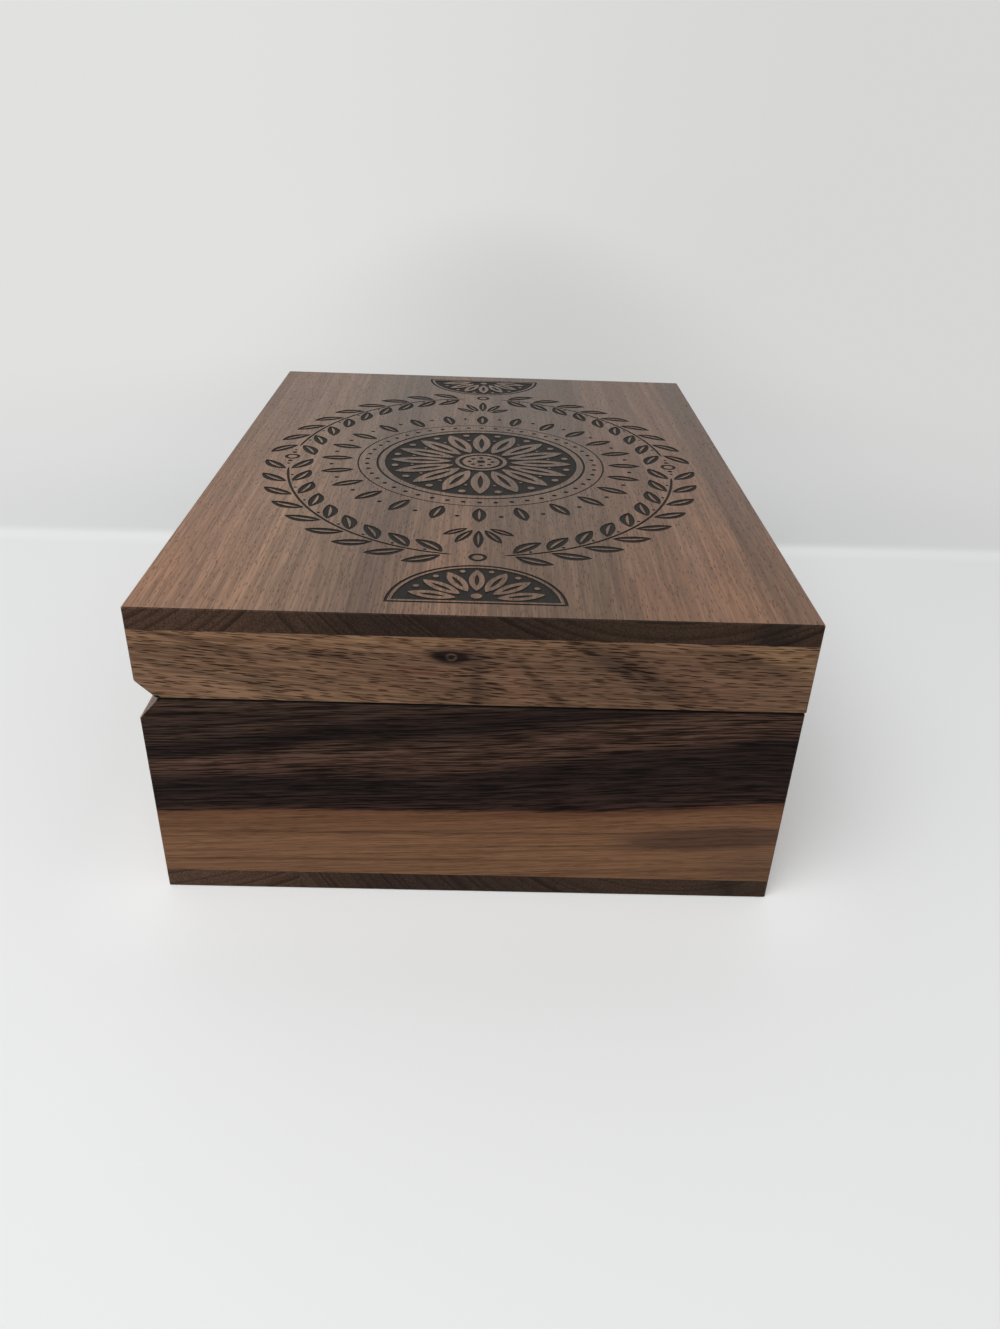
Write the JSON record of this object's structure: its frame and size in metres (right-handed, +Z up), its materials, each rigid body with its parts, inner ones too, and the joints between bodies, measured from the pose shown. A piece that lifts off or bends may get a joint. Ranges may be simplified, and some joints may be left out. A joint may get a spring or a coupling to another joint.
{
  "type": "hinged keepsake box",
  "caption": "Mitred walnut box for papers and keepsakes, with a flat hinged lid that opens to a built-in stop along a vee at the back.",
  "frame": {"origin": "on the underside, at the middle of the base", "axes": "+X along the box's length, -Y towards the front, where the lid opens, and +Z up"},
  "size_m": [0.239, 0.1781, 0.0924],
  "materials": {
    "walnut": "hand-rubbed oil, satin, open pores",
    "brass": "satin, lightly toned"
  },
  "bodies": {
    "base": {"bottom_panel": "walnut", "base_front_wall": "walnut", "base_right_wall": "walnut", "base_back_wall": "walnut", "base_left_wall": "walnut", "left_hinge_base_leaf": "brass", "left_hinge_base_screws": "brass", "left_hinge_pin": "brass", "right_hinge_base_leaf": "brass", "right_hinge_base_screws": "brass", "right_hinge_pin": "brass"},
    "lid": {"lid_front_rail": "walnut", "lid_right_rail": "walnut", "lid_back_rail": "walnut", "lid_left_rail": "walnut", "lid_panel": "walnut", "left_hinge_lid_leaf": "brass", "left_hinge_lid_screws": "brass", "right_hinge_lid_leaf": "brass", "right_hinge_lid_screws": "brass"}
  },
  "joints": [
    {"name": "lid_hinge", "type": "hinge", "parent": "base", "child": "lid", "pos_m": [0, 0.0834, 0.06552], "axis": [-1, 0, 0], "range_deg": [0, 94]}
  ]
}
